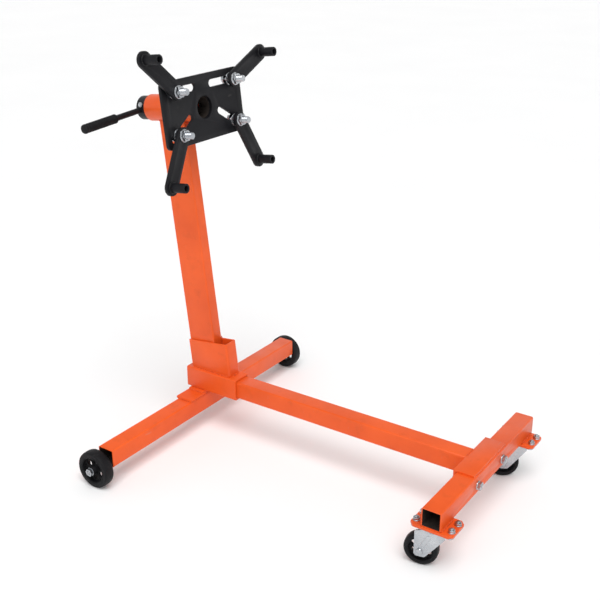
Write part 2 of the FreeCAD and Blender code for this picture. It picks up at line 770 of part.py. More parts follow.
# Each axle is a short rod welded along the underside of the rear tube.
hub_end = dim.hub_start + dim.hub_length
wheel_centre = dim.hub_start + dim.hub_length / 2
axle_x = dim.rear_pos - dim.axle_back
axle_start = dim.rear_length / 2 - dim.axle_welded
washer_spots, nut_spots = [], []
for name, side in (("left", 1), ("right", -1)):
    outward = Rotation(X_AXIS, -90 * side)
    axle = new_body(f"rear_axle_{name}")
    outline = new_sketch(axle, "XY_Plane")
    draw_circle(outline, dim.axle_radius)
    pad(axle, outline, dim.axle_tip - axle_start)
    round_edges(axle, 1, lambda edge: edge.CenterOfMass.z > 1, "PartDesign::Chamfer")
    put(axle, axle_x, axle_start * side, dim.wheel_radius, outward)
    put(spoked_wheel(f"rear_wheel_{name}", dim.wheel_radius, dim.wheel_width, dim.hub_length,
                     dim.axle_radius + 0.08, 21, 7.6, 15),
        axle_x, wheel_centre * side, dim.wheel_radius)

    def at_axle(distance):
        return Placement(Vector(axle_x.value, side * distance, SIZES["wheel_radius"]), outward)

    washer_spots.append(at_axle(SIZES["rear_length"] / 2 + 0.2))
    washer_spots.append(at_axle(hub_end.value + 0.3))
    nut_spots.append(at_axle(hub_end.value + 2.2))

group("axle_washers", ring("axle_washer", dim.axle_radius + 0.02, 10, 1.8), washer_spots)
group("axle_nuts", hex_nut("axle_nut", dim.axle_radius + 0.02, 17, 6), nut_spots)

# ---------------------------------------------------------------- rotating head

shaft = new_body("shaft_tube")
outline = new_sketch(shaft, "YZ_Plane")
draw_circle(outline, dim.shaft_radius)
draw_circle(outline, dim.shaft_radius - dim.shaft_wall)
pad(shaft, outline, dim.plate_back + dim.shaft_back)
cross = new_sketch(shaft, "XZ_Plane")
draw_circle(cross, dim.rod_radius + 0.05, dim.shaft_back - dim.handle_back, 0)
pocket(shaft, cross, both=True)
# The handle screw sits above the rod, on the right-hand side of the shaft.
tilt = Rotation(X_AXIS, -SIZES["screw_angle"])
beside = new_sketch(shaft, "XZ_Plane", Placement(Vector(0, 0, 0), tilt))
draw_circle(beside, 3.05, dim.shaft_back - dim.screw_back, 0)
pocket(shaft, beside, 60, back=True)
# Eight holes take the indexing pin, one every 45 degrees.
index_hole = new_sketch(shaft, "XZ_Plane",
                        Placement(Vector(0, 0, 0), Rotation(X_AXIS, -SIZES["handle_tilt"])))
draw_circle(index_hole, dim.pin_radius + 0.2, dim.shaft_back + dim.pin_forward, 0)
first_hole = pocket(shaft, index_hole, 60, back=False)
repeat_round(shaft, first_hole, "X_Axis", 8)
HANDLE_TURN = Rotation(X_AXIS, SIZES["handle_tilt"])
put_at(shaft, on_head(-SIZES["shaft_back"], 0, 0, HANDLE_TURN))

plate = new_body("head_plate")
outline = new_sketch(plate, "YZ_Plane")
draw_box(outline, dim.head_width, dim.head_height)
pad(plate, outline, dim.head_thick)
round_edges(plate, dim.head_corner, straight_along(X_AXIS, 1))
holes = new_sketch(plate, "YZ_Plane")
draw_circle(holes, dim.head_bore)
pocket(plate, holes, both=True)
for side in (-1, 1):
    slots = new_sketch(plate, "YZ_Plane")
    draw_slot(slots, dim.slot_radius, (dim.upper_slot_in * side, dim.slot_level),
              (dim.upper_slot_out * side, dim.slot_level))
    draw_slot(slots, dim.slot_radius, (dim.lower_slot_in * side, dim.lower_slot_in_level),
              (dim.lower_slot_out * side, dim.lower_slot_out_level))
    pocket(plate, slots, both=True)
put_at(plate, on_head(SIZES["plate_back"], 0, 0))

TO_RIGHT = Rotation(X_AXIS, 90)
handle_axis = HANDLE_TURN.multiply(TO_RIGHT)
rod = new_body("handle_rod")
outline = new_sketch(rod, "XY_Plane")
draw_circle(outline, dim.rod_radius)
pad(rod, outline, dim.rod_far + dim.grip_end - 8)
round_edges(rod, 1.5, lambda edge: isinstance(edge.Curve, Part.Circle), "PartDesign::Chamfer")
along = HANDLE_TURN.multVec(Vector(0, SIZES["rod_far"], 0))
put_at(rod, on_head(-SIZES["handle_back"], along.y, along.z, handle_axis))

grip = new_body("handle_grip")
profile = new_sketch(grip, "XZ_Plane")
start, stop, thick = dim.grip_start, dim.grip_end, dim.grip_radius
bore_end = stop - 7.5
draw_polygon(profile, [
    (dim.rod_radius + 0.02, start), (thick - 1.5, start), (thick, start + 2),
    (thick, stop - 5), (thick - 1.5, stop - 1.8), (thick - 4.5, stop), (0, stop),
    (0, bore_end), (dim.rod_radius + 0.02, bore_end)])
revolve(grip, profile, "V_Axis")
put_at(grip, on_head(-SIZES["handle_back"], 0, 0, handle_axis))

screw_turn = Rotation(X_AXIS, SIZES["handle_tilt"] - SIZES["screw_angle"]).multiply(TO_RIGHT)
screw = hex_bolt("handle_screw", 3, 3.2, 10, 4, 6)
screw_spot = screw_turn.multVec(Vector(0, 0, SIZES["shaft_radius"]))
put_at(screw, on_head(-SIZES["screw_back"], screw_spot.y, screw_spot.z, screw_turn))

pin = new_body("lock_pin")
profile = new_sketch(pin, "XZ_Plane")
draw_polygon(profile, [
    (0, dim.pin_tip), (dim.pin_radius - 0.8, dim.pin_tip), (dim.pin_radius, dim.pin_tip + 0.8),
    (dim.pin_radius, dim.pin_tail), (dim.knob_radius - 1, dim.pin_tail),
    (dim.knob_radius, dim.pin_tail + 1), (dim.knob_radius, dim.knob_end - 3),
    (dim.knob_radius - 3, dim.knob_end), (0, dim.knob_end)])
revolve(pin, profile, "V_Axis")
put_at(pin, on_head(SIZES["pin_forward"], 0, 0, TO_LEFT))

# ---------------------------------------------------------------- mounting arms

# Each bolt carries a nut against the plate, then the arm, then a nut in front of it.
inner_nut = head_front + dim.slip
arm_back = inner_nut + dim.nut_height + dim.slip
outer_nut = arm_back + dim.arm_thick + dim.slip
for name, (across, up, angle) in ARMS.items():
    turn = Rotation(X_AXIS, angle)
    arm = new_body(f"arm_{name}")
    outline = new_sketch(arm, "YZ_Plane")
    draw_slot(outline, dim.arm_width / 2, (0, 0), (dim.arm_length, 0))
    pad(arm, outline, dim.arm_thick)
    holes = new_sketch(arm, "YZ_Plane")
    draw_circle(holes, dim.arm_bolt + 0.08)
    draw_circle(holes, dim.arm_tube_radius, dim.arm_length, 0)
    pocket(arm, holes, both=True)
    put_at(arm, on_head(arm_back.value, across, up, turn))

    tip = turn.multVec(Vector(0, SIZES["arm_length"], 0))
    tube = ring(f"arm_tube_{name}", dim.arm_tube_bore, dim.arm_tube_radius,
                dim.arm_tube_length)
    put_at(tube, on_head(arm_back.value, across + tip.y, up + tip.z, TO_FRONT))

    bolt = hex_bolt(f"arm_bolt_{name}", dim.arm_bolt, 51, 24, 9, 15)
    put_at(bolt, on_head((dim.plate_back - dim.slip).value, across, up, TO_BACK))
    group(f"arm_nuts_{name}",
          hex_nut(f"arm_nut_{name}", dim.arm_bolt + 0.02, 24, dim.nut_height, 15),
          [on_head(spot.value, across, up, TO_FRONT) for spot in (inner_nut, outer_nut)])

# ---------------------------------------------------------------- checks and export

doc.recompute()
for thing in doc.Objects:
    if "Invalid" in thing.State or "Error" in thing.State:
        raise RuntimeError(f"{thing.Label} failed: {thing.State}")
labels = [thing.Label for thing in parts]
if len(set(labels)) != len(labels):
    raise RuntimeError("two sub-parts share a label")
for thing in parts:
    shape = thing.Shape
    if shape.isNull() or not shape.isValid() or not shape.Solids:
        raise RuntimeError(f"{thing.Label}: the shape is not a valid solid")

os.makedirs("parts", exist_ok=True)
box = FreeCAD.BoundBox()
for thing in parts:
    thing.Shape.exportStep(f"parts/{thing.Label}.step")
    box.add(thing.Shape.BoundBox)
print(f"{len(parts)} nodes, {sum(len(thing.Shape.Solids) for thing in parts)} solids")
print(f"X {box.XMin:.1f} to {box.XMax:.1f}, Y {box.YMin:.1f} to {box.YMax:.1f}, "
      f"Z {box.ZMin:.1f} to {box.ZMax:.1f}")
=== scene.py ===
import bpy
import bmesh
import json
import math
from mathutils import Matrix, Vector, noise


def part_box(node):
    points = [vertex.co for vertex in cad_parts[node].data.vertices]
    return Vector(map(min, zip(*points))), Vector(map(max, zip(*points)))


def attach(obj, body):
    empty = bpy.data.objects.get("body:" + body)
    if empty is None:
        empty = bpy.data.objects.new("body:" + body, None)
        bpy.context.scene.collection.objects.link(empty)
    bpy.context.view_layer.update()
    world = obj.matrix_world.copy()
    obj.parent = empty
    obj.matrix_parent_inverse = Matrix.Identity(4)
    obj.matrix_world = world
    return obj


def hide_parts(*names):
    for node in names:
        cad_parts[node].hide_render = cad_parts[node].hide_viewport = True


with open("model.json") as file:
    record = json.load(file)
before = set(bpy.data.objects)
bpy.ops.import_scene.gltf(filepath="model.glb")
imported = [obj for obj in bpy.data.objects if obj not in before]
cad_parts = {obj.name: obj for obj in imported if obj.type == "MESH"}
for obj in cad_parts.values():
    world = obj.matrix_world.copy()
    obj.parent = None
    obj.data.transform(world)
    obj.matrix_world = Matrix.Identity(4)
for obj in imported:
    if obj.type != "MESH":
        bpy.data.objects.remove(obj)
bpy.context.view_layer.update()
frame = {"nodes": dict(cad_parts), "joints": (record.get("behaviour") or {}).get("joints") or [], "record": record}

# A rotating engine stand. All lengths are in metres.

NODES = frame["nodes"]
RECORD = frame["record"]
BODY_OF = {node: body for body, nodes in RECORD["behaviour"]["bodies"].items()
           for node in nodes}
SLOT_OF = {row["node"]: row["material_slot"] for row in RECORD["subparts"]}
JOINTS = {joint["name"]: joint for joint in frame["joints"]}
SIDES = (("left", 1), ("right", -1))
ARMS = ("upper_left", "upper_right", "lower_left", "lower_right")

X_AXIS, Y_AXIS, Z_AXIS = Vector((1, 0, 0)), Vector((0, 1, 0)), Vector((0, 0, 1))

# The head's own frame: the origin on the shaft axis, X along it towards the engine.
HEAD_AXIS = Vector(JOINTS["head_spin"]["axis"])
HEAD_UP = HEAD_AXIS.cross(Y_AXIS)
HEAD_CENTRE = Vector(JOINTS["head_spin"]["pos_m"])
HEAD = Matrix((
    (HEAD_AXIS.x, 0, HEAD_UP.x, HEAD_CENTRE.x),
    (HEAD_AXIS.y, 1, HEAD_UP.y, HEAD_CENTRE.y),
    (HEAD_AXIS.z, 0, HEAD_UP.z, HEAD_CENTRE.z),
    (0, 0, 0, 1)))

PLATE_HALF = 0.004      # half the thickness of the head plate, and of an arm's bar
BEARING_TUBE_OUTER = 0.0318
FIT_GAP = 0.0001        # air between a fastener and the face it sits on


def to_head(point):
    """A point of the scene in the head's frame."""
    return HEAD.inverted() @ point


def from_head(x, y, z):
    """A point of the head's frame in the scene."""
    return HEAD @ Vector((x, y, z))


def middle(node):
    """The centre of a node's box."""
    low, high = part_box(node)
    return (low + high) / 2


def joint_place(name):
    return Vector(JOINTS[name]["pos_m"])


def facing(low, high, sign):
    """The bound on the side that the sign points to."""
    return high if sign > 0 else low


# ------------------------------------------------------------------ materials

class Shader:
    """A node material with short calls for the nodes used below."""

    def __init__(self, name):
        self.material = bpy.data.materials.new(name)
        self.material.use_nodes = True
        self.tree = self.material.node_tree
        self.bsdf = self.tree.nodes["Principled BSDF"]
        self.place = self.node("ShaderNodeTexCoord").outputs["Object"]

    def node(self, kind, inputs=None, **settings):
        made = self.tree.nodes.new(kind)
        for key, value in settings.items():
            setattr(made, key, value)
        for key, value in (inputs or {}).items():
            self.join(made.inputs[key], value)
        return made

    def join(self, socket, value):
        """Link a socket to another one, or set it to a constant."""
        if isinstance(value, bpy.types.NodeSocket):
            self.tree.links.new(value, socket)
        else:
            socket.default_value = value

    def noise(self, scale, detail=3.0, stretch=(1, 1, 1), rough=0.5):
        place = self.node("ShaderNodeMapping", {"Vector": self.place, "Scale": stretch})
        made = self.node("ShaderNodeTexNoise", {
            "Vector": place.outputs["Vector"], "Scale": scale, "Detail": detail,
            "Roughness": rough})
        return made.outputs["Fac"]

    def ramp(self, value, low, high, start=0.0, end=1.0):
        """Map value from low..high to start..end, clamped."""
        made = self.node("ShaderNodeMapRange", {
            "Value": value, "From Min": low, "From Max": high, "To Min": start, "To Max": end})
        return made.outputs["Result"]

    def math(self, operation, first, second):
        return self.node("ShaderNodeMath", {0: first, 1: second},
                         operation=operation).outputs[0]

    def mix(self, amount, first, second):
        made = self.node("ShaderNodeMix", {"Factor": amount, "A": first, "B": second},
                         data_type="RGBA")
        return next(out for out in made.outputs if out.type == "RGBA")

    def bump(self, height, strength, distance, below=None):
        made = self.node("ShaderNodeBump", {
            "Height": height, "Strength": strength, "Distance": distance})
        if below is not None:
            self.join(made.inputs["Normal"], below)
        return made.outputs["Normal"]

    def edges(self, radius, low, high):
        """1 on worn outer edges, 0 on flat faces."""
        soft = self.node("ShaderNodeBevel", {"Radius": radius}, samples=4).outputs["Normal"]
        hard = self.node("ShaderNodeNewGeometry").outputs["Normal"]
        close = self.node("ShaderNodeVectorMath", {0: soft, 1: hard},
                          operation="DOT_PRODUCT").outputs["Value"]
        return self.ramp(close, high, low)

    def set(self, **sockets):
        """Feed the surface's sockets, named with underscores, and give back the material."""
        for key, value in sockets.items():
            self.join(self.bsdf.inputs[key.replace("_", " ")], value)
        return self.material


def scaled(colour, share):
    """A colour made darker or lighter by a share of itself."""
    return tuple(value * share for value in colour[:3]) + (1,)


def powder_coat(name, base, darker, worn, rough, speckle, shine=0.32):
    """Baked powder paint: orange peel, slow colour drift, chipped edges, dust and scuffs."""
    shader = Shader(name)
    drift = shader.ramp(shader.noise(7, 4), 0.35, 0.68)
    colour = shader.mix(drift, base, darker)
    grime = shader.ramp(shader.noise(38, 6, rough=0.62), 0.56, 0.78, 0, 0.35)
    colour = shader.mix(grime, colour, scaled(base, 0.62))
    scuff = shader.ramp(shader.noise(260, 2, (1, 0.07, 0.35)), 0.70, 0.78, 0, speckle)
    colour = shader.mix(scuff, colour, worn)
    chip = shader.math("MULTIPLY", shader.edges(0.0009, 0.80, 0.97),
                       shader.ramp(shader.noise(150, 5), 0.50, 0.62))
    chip = shader.math("MULTIPLY", chip, 0.55)
    colour = shader.mix(chip, colour, worn)
    peel = shader.noise(620, 2)
    grain = shader.noise(2400, 1)
    normal = shader.bump(peel, 0.16, 0.0006)
    normal = shader.bump(grain, 0.05, 0.0002, normal)
    gloss = shader.ramp(shader.noise(22, 4), 0.3, 0.75, rough - 0.05, rough + 0.09)
    gloss = shader.math("ADD", gloss, shader.math("MULTIPLY", scuff, 0.3))
    return shader.set(Base_Color=colour, Roughness=gloss, Normal=normal,
                      Specular_IOR_Level=shine)


def plated(name, light, dark, rough, cloud=14):
    """Zinc plating or bare steel: cloudy tone, fine drawn lines and small spots."""
    shader = Shader(name)
    cloudy = shader.ramp(shader.noise(cloud, 5, rough=0.6), 0.32, 0.7)
    colour = shader.mix(cloudy, light, dark)
    spots = shader.ramp(shader.noise(420, 3), 0.66, 0.78, 0, 0.45)
    colour = shader.mix(spots, colour, scaled(dark, 0.55))
    lines = shader.noise(900, 3, (0.08, 1, 1))
    gloss = shader.ramp(lines, 0.3, 0.7, rough - 0.07, rough + 0.1)
    gloss = shader.math("ADD", gloss, shader.math("MULTIPLY", spots, 0.25))
    normal = shader.bump(lines, 0.12, 0.0002)
    normal = shader.bump(shader.noise(180, 4), 0.08, 0.0005, normal)
    return shader.set(Base_Color=colour, Roughness=gloss, Normal=normal, Metallic=1.0)


def rubbery(name, base, dusty, rough, grain_scale, dust):
    """Moulded rubber or plastic: fine grain, grey dust and rubbed patches."""
    shader = Shader(name)
    patches = shader.ramp(shader.noise(30, 5, rough=0.6), 0.38, 0.72)
    colour = shader.mix(shader.math("MULTIPLY", patches, 0.5), base, scaled(base, 1.9))
    powder = shader.ramp(shader.noise(95, 6, rough=0.7), 0.55, 0.8, 0, dust)
    colour = shader.mix(powder, colour, dusty)
    grain = shader.noise(grain_scale, 3)
    gloss = shader.ramp(shader.noise(48, 4), 0.3, 0.7, rough - 0.08, rough + 0.12)
    normal = shader.bump(grain, 0.22, 0.0004)
    return shader.set(Base_Color=colour, Roughness=gloss, Normal=normal,
                      Specular_IOR_Level=0.16)


def inside_painted_shade(name, base, dark, rough):
    """The inside of a tube: mill scale with a little oil, darkened to near-black as painted shade of the tube's
    hollow.
    """
    shader = Shader(name)
    cloudy = shader.ramp(shader.noise(45, 5, rough=0.65), 0.35, 0.7)
    colour = shader.mix(cloudy, base, dark)
    gloss = shader.ramp(shader.noise(70, 4), 0.3, 0.7, rough, rough + 0.2)
    normal = shader.bump(shader.noise(500, 3), 0.15, 0.0004)
    return shader.set(Base_Color=colour, Roughness=gloss, Normal=normal,
                      Specular_IOR_Level=0.2)


def weld_metal(name, base, shade_in_hollows, rough):
    """A painted weld bead: lumpy, with painted shade darkening the low parts of its lumps."""
    shader = Shader(name)
    lumps = shader.noise(330, 4)
    # Painted shade: where the lumps that the bump raises are low, the darker colour is used.
    colour = shader.mix(shader.ramp(lumps, 0.35, 0.68), shade_in_hollows, base)
    gloss = shader.ramp(shader.noise(120, 3), 0.3, 0.7, rough, rough + 0.14)
    normal = shader.bump(lumps, 0.35, 0.0007)
    return shader.set(Base_Color=colour, Roughness=gloss, Normal=normal,
                      Specular_IOR_Level=0.32)


ORANGE = (0.82, 0.108, 0.014, 1)
MATERIAL = {
    "orange_paint": powder_coat(
        "orange_powder_coat", ORANGE, darker=(0.70, 0.083, 0.010, 1),
        worn=(0.46, 0.30, 0.24, 1), rough=0.36, speckle=0.22),
    "black_paint": powder_coat(
        "black_powder_coat", (0.007, 0.007, 0.009, 1), darker=(0.012, 0.012, 0.014, 1),
        worn=(0.10, 0.095, 0.09, 1), rough=0.44, speckle=0.26, shine=0.17),
    "zinc": plated(
        "bright_zinc", (0.56, 0.58, 0.60, 1), dark=(0.36, 0.38, 0.41, 1), rough=0.26),
    "steel": plated(
        "plain_steel", (0.44, 0.44, 0.45, 1), dark=(0.28, 0.28, 0.30, 1), rough=0.32,
        cloud=25),
    "wheel_rubber": rubbery(
        "wheel_rubber", (0.006, 0.006, 0.007, 1), dusty=(0.07, 0.067, 0.063, 1),
        rough=0.52, grain_scale=700, dust=0.24),
    "grip": rubbery(
        "grip_rubber", (0.007, 0.007, 0.008, 1), dusty=(0.07, 0.067, 0.064, 1),
        rough=0.60, grain_scale=1300, dust=0.20),
}
# The second colour of each weld is painted shade for the hollows between the bead's lumps.
WELD = {
    "orange_paint": weld_metal(
        "orange_weld", ORANGE, shade_in_hollows=(0.52, 0.055, 0.008, 1), rough=0.36),
    "black_paint": weld_metal(
        "black_weld", (0.014, 0.014, 0.016, 1), shade_in_hollows=(0.006, 0.006, 0.007, 1), rough=0.42),
}
# Painted shade: the near-black colour of the tubes' inside walls stands for the shade in their hollows.
INSIDE_SHADE = inside_painted_shade(
    "tube_inside_shade", (0.030, 0.022, 0.018, 1), dark=(0.012, 0.010, 0.009, 1), rough=0.6)


# ------------------------------------------------------------------ mesh helpers

def finish_mesh(name, bm, slot_name, body, material=None, smooth_angle=38, matrix=None):
    """Turn a bmesh into a piece that rides on a body."""
    if matrix is not None:
        bmesh.ops.transform(bm, matrix=matrix, verts=bm.verts)
    bmesh.ops.recalc_face_normals(bm, faces=bm.faces)
    mesh = bpy.data.meshes.new(name)
    bm.to_mesh(mesh)
    bm.free()
    mesh.shade_smooth()
    mesh.set_sharp_from_angle(angle=math.radians(smooth_angle))
    mesh.materials.append(material or MATERIAL[slot_name])
    piece = bpy.data.objects.new(name, mesh)
    bpy.context.scene.collection.objects.link(piece)
    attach(piece, body)
    return piece


def join_rings(bm, lower, upper, turn=0):
    """Faces between two rings, the upper one turned by whole points."""
    count = len(lower)
    for index in range(count):
        after = (index + 1) % count
        bm.faces.new((lower[index], lower[after],
                      upper[(after + turn) % count], upper[(index + turn) % count]))


def grid_surface(bm, rows):
    """Skin a list of equally long vertex rings."""
    rings = [[bm.verts.new(point) for point in row] for row in rows]
    for lower, upper in zip(rings, rings[1:]):
        join_rings(bm, lower, upper)
    return rings


def closed_ends(bm, rows):
    """Skin the rings and cap both ends."""
    rings = grid_surface(bm, rows)
    bm.faces.new(rings[0][::-1])
    bm.faces.new(rings[-1])


def closed_loop(bm, rows):
    """Skin the rings and join the last to the first."""
    rings = grid_surface(bm, rows)
    join_rings(bm, rings[-1], rings[0])


def ring_points(radii, z):
    """Points round Z, one for each radius."""
    steps = len(radii)
    return [(radius * math.cos(2 * math.pi * k / steps),
             radius * math.sin(2 * math.pi * k / steps), z)
            for k, radius in enumerate(radii)]


def circle_points(matrix, radius, steps):
    """Points of a circle in the matrix's XY plane."""
    return [matrix @ Vector(point) for point in ring_points([radius] * steps, 0)]


def lathe(bm, profile, steps=64, close=False):
    """Revolve (radius, z) pairs about Z; a closed profile makes a ring."""
    rows = [ring_points([radius] * steps, z) for radius, z in profile]
    if close:
        closed_loop(bm, rows)
    else:
        closed_ends(bm, rows)


def hex_radius(angle, flats, limit):
    """Distance from the centre to a hexagon's side, cut by a round limit."""
    sector = (angle + math.pi / 6) % (math.pi / 3) - math.pi / 6
    return min(flats / 2 / math.cos(sector), limit)


def hex_block(bm, flats, low, high, bore=None, chamfer_low=True):
    """Hexagon along Z with turned chamfers at its ends and an optional bore."""
    steps = 72
    corner = flats / math.sqrt(3)
    turned = flats / 2 * 0.98               # radius of the chamfer's flat end
    drop = (corner - turned) * math.tan(math.radians(30))
    # Each level has a height and its share of the way from the flat end to the corners.
    levels = [(high, 0.0), (high - drop * 0.25, 0.25), (high - drop * 0.5, 0.5),
              (high - drop * 0.75, 0.75), (high - drop, 1.0)]
    if chamfer_low:
        levels += [(low + drop, 1.0), (low + drop * 0.5, 0.5), (low, 0.0)]
    else:
        levels += [(low, 1.0)]
    rows = []
    for z, share in levels:
        limit = turned + (corner - turned) * share
        rows.append(ring_points([hex_radius(2 * math.pi * k / steps, flats, limit)
                                 for k in range(steps)], z))
    if bore:
        lip = 0.07 * flats
        for radius, z in ((bore + lip, low), (bore, low + lip), (bore, high - lip),
                          (bore + lip, high)):
            rows.append(ring_points([radius] * steps, z))
        closed_loop(bm, rows)
    else:
        closed_ends(bm, rows)


def threaded_shank(bm, radius, start, end, pitch, steps=32):
    """A rod along Z with a helical ridge, tapered at its far end."""
    depth = pitch * 0.5
    taper = radius * 0.14
    levels_per_turn = 6
    count = max(4, int(abs(end - start) / pitch * levels_per_turn))
    rows = []
    for level in range(count + 1):
        z = start + (end - start) * (level / count)
        limit = radius - max(0.0, taper - abs(end - z))
        radii = []
        for k in range(steps):
            phase = (z / pitch - k / steps) % 1.0
            cut = depth * abs(2 * phase - 1)
            radii.append(min(radius - cut, limit))
        rows.append(ring_points(radii, z))
    closed_ends(bm, rows)


def frame_along(point, axis):
    """Matrix whose Z is the axis and whose origin is the point."""
    z = Vector(axis).normalized()
    helper = Z_AXIS if abs(z.dot(Z_AXIS)) < 0.95 else X_AXIS
    x = (helper - z * helper.dot(z)).normalized()
    y = z.cross(x)
    return Matrix(((x.x, y.x, z.x, point[0]), (x.y, y.y, z.y, point[1]),
                   (x.z, y.z, z.z, point[2]), (0, 0, 0, 1)))


def weld(name, points, radius, body, slot_name="orange_paint", closed=False):
    """A rippled bead laid along the points, like a row of overlapping coins."""
    sides = 10
    stride = 0.0011         # between two rings of the bead
    pitch = 0.0042          # between two ripples
    points = [Vector(point) for point in points]
    if closed:
        points.append(points[0])
    path = []
    for first, last in zip(points, points[1:]):
        count = max(1, int((last - first).length / stride))
        path += [first.lerp(last, k / count) for k in range(count)]
    if not closed:
        path.append(points[-1])
    laid = 0.0
    rows = []
    side = None
    for index, here in enumerate(path):
        before = path[index - 1] if index or closed else here
        after = path[(index + 1) % len(path)] if index + 1 < len(path) or closed else here
        forward = (after - before).normalized()
        if side is None:
            side = forward.orthogonal().normalized()
        else:
            side = (side - forward * side.dot(forward)).normalized()
        over = forward.cross(side)
        laid += (here - before).length if index else 0
        ripple = 1 - 0.22 * ((laid / pitch) % 1.0)
        wobble = 1 + 0.12 * noise.noise(here * 160)
        taper = 1.0
        if not closed:
            from_end = min(index, len(path) - 1 - index)
            taper = min(1.0, 0.45 + from_end * 0.2)
        size = radius * ripple * wobble * taper
        rows.append([here + (side * math.cos(2 * math.pi * k / sides)
                             + over * math.sin(2 * math.pi * k / sides)) * size
                     for k in range(sides)])
    bm = bmesh.new()
    if closed:
        # The carried side direction can come back turned, so the nearest points are joined.
        rings = grid_surface(bm, rows)
        nearest = min(range(sides),
                      key=lambda turn: (rings[-1][0].co - rings[0][turn].co).length)
        join_rings(bm, rings[-1], rings[0], nearest)
    else:
        closed_ends(bm, rows)
    return finish_mesh(name, bm, slot_name, body, WELD[slot_name], smooth_angle=70)


# ------------------------------------------------------------------ refined CAD parts

BROKEN_EDGE = 0.0005        # for nodes with no width of their own below
EDGE_WIDTH = {
    "rear_cross_tube": 0.0007, "centre_beam": 0.0007, "front_cross_tube": 0.0007,
    "beam_sleeve": 0.0012, "post": 0.0008, "post_socket": 0.0010,
    "saddle_plate": 0.0009, "sleeve_pad": 0.0008, "front_saddle": 0.0010,
    "head_plate": 0.0009, "caster_mount_left": 0.0009, "caster_mount_right": 0.0009}
EDGE_ANGLE = 32
# Nodes whose names start like these are modelled again below, with more detail.
REBUILT = ("joint_bolts", "joint_nuts", "caster_nuts", "axle_nuts", "sleeve_clamp_bolt",
           "sleeve_clamp_nut", "handle_grip", "handle_screw", "lock_pin",
           "arm_bolt", "arm_nuts")


def refine(node, width):
    """A copy of a CAD node with its edges broken, standing for the node."""
    bm = bmesh.new()
    bm.from_mesh(NODES[node].data)
    bmesh.ops.remove_doubles(bm, verts=bm.verts, dist=1e-6)
    bmesh.ops.dissolve_limit(bm, angle_limit=math.radians(0.6), verts=bm.verts,
                             edges=bm.edges, use_dissolve_boundaries=False)
    mesh = bpy.data.meshes.new(f"{node}_skin")
    bm.to_mesh(mesh)
    bm.free()
    piece = bpy.data.objects.new(f"{node}_skin", mesh)
    bpy.context.scene.collection.objects.link(piece)
    modifier = piece.modifiers.new("edges", "BEVEL")
    modifier.width = width
    modifier.segments = 2
    modifier.limit_method = "ANGLE"
    modifier.angle_limit = math.radians(EDGE_ANGLE)
    modifier.use_clamp_overlap = True
    modifier.harden_normals = False
    bpy.context.view_layer.update()
    ready = bpy.data.meshes.new_from_object(
        piece.evaluated_get(bpy.context.evaluated_depsgraph_get()))
    piece.modifiers.clear()
    piece.data = ready
    ready.shade_smooth()
    ready.set_sharp_from_angle(angle=math.radians(EDGE_ANGLE + 8))
    ready.materials.clear()
    ready.materials.append(MATERIAL[SLOT_OF[node]])
    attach(piece, BODY_OF[node])
    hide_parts(node)
    return piece


def paint_inside_shade(node, axis, is_inside):
    """Give the walls along the axis that is_inside picks the near-black inside material, which is painted shade of
    the hollow over bare steel.
    """
    mesh = skins[node].data
    mesh.materials.append(INSIDE_SHADE)
    for face in mesh.polygons:
        if abs(face.normal.dot(axis)) < 0.3 and is_inside(face.center):
            face.material_index = 1


def within(node, first, second, wall=0.0016):
    """A test for points inside a square tube's wall, given its two cross axes."""
    low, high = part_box(node)
    return lambda point: all(low[axis] + wall < point[axis] < high[axis] - wall
                             for axis in (first, second))


def off_shaft(radius):
    """A test for points nearer to the head's shaft axis than the radius."""
    return lambda point: to_head(point).yz.length < radius


skins = {}
for node in NODES:
    if not node.startswith(REBUILT):
        skins[node] = refine(node, EDGE_WIDTH.get(node, BROKEN_EDGE))

# Painted shade on the inside walls of the tubes and of the head's bores.
paint_inside_shade("rear_cross_tube", Y_AXIS, within("rear_cross_tube", 0, 2))
paint_inside_shade("front_cross_tube", Y_AXIS, within("front_cross_tube", 0, 2))
paint_inside_shade("centre_beam", X_AXIS, within("centre_beam", 1, 2))
paint_inside_shade("beam_sleeve", X_AXIS, within("beam_sleeve", 1, 2, wall=0.003))
paint_inside_shade("bearing_tube", HEAD_AXIS, off_shaft(0.0290))
paint_inside_shade("shaft_tube", HEAD_AXIS, off_shaft(0.0260))


# ------------------------------------------------------------------ fasteners

def merge_placed(bm, part, centre, axis):
    """Move a part made along Z to its place and add it to the bmesh."""
    bmesh.ops.transform(part, matrix=frame_along(centre, axis), verts=part.verts)
    copy = bpy.data.meshes.new("part")
    part.to_mesh(copy)
    part.free()
    bm.from_mesh(copy)
    bpy.data.meshes.remove(copy)


def nut(name, centres, axis, body, flats, height, bore, flange=0.0):
    """Nuts with their flange side at each point and their height along the axis."""
    bm = bmesh.new()
    for centre in centres:
        part = bmesh.new()
        base = height * 0.12 if flange else 0.0
        hex_block(part, flats, base, height, bore, chamfer_low=not flange)
        if flange:
            lathe(part, [(bore, 0.0), (flange, 0.0), (flange, 0.0011),
                         (flange * 0.97, 0.0016), (flats / 2 * 0.98, height * 0.32),
                         (bore, height * 0.32)], close=True)
        merge_placed(bm, part, centre, axis)
    return finish_mesh(name, bm, "zinc", body)


def bolt(name, centres, axis, body, radius, length, flats, head, pitch, flange=0.0):
    """Bolts whose heads rest at each point; the shank runs along the axis."""
    bm = bmesh.new()
    for centre in centres:
        part = bmesh.new()
        rim = 0.0016 if flange else 0.0
        hex_block(part, flats, -head, -rim)
        if flange:
            lathe(part, [(radius, 0.0), (flange, 0.0), (flange, -0.0011),
                         (flats / 2 * 0.98, -head * 0.34), (radius, -head * 0.34)],
                  close=True)
        threaded_shank(part, radius, -head * 0.3, length, pitch)
        merge_placed(bm, part, centre, axis)
    return finish_mesh(name, bm, "zinc", body)


